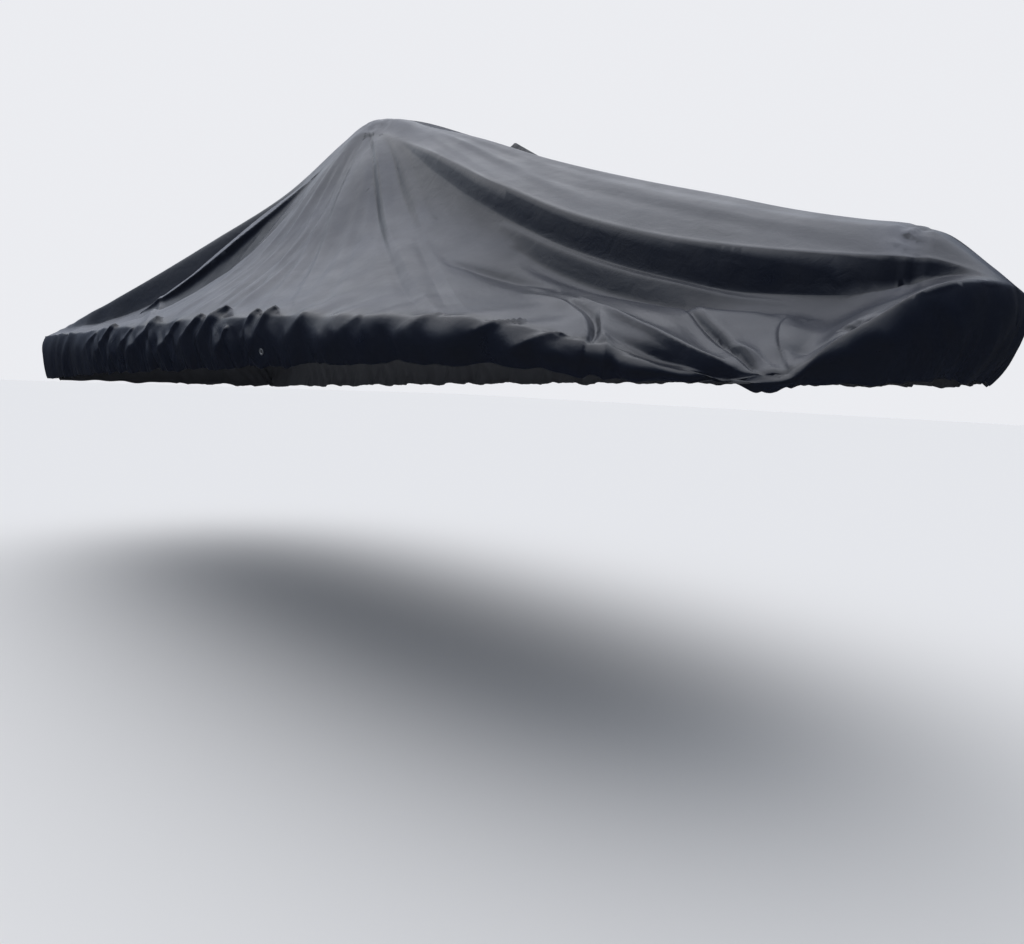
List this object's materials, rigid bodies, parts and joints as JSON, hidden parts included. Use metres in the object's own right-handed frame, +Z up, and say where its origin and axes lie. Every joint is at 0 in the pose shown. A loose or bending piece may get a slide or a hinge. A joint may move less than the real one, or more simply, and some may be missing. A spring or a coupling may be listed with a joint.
{
  "type": "boat cover",
  "caption": "Fitted cover of coated cloth that hangs over an open boat in one tent-like peak, with a long ridge to the bow, a gathered hem and a metal eyelet.",
  "frame": {"origin": "underside of the cloth at the peak, where the boat holds it up", "axes": "+X to the bow along the cover's length, +Y to port, +Z up"},
  "size_m": [4.7555, 1.9621, 1.3059],
  "materials": {
    "navy_coated_cloth": "coated, half gloss, with dust on what faces up",
    "zinc_eyelet": "satin"
  },
  "bodies": {
    "root": {"cover_cloth": "navy_coated_cloth", "eyelet_strip": "navy_coated_cloth", "eyelet_ring": "zinc_eyelet"}
  },
  "joints": []
}
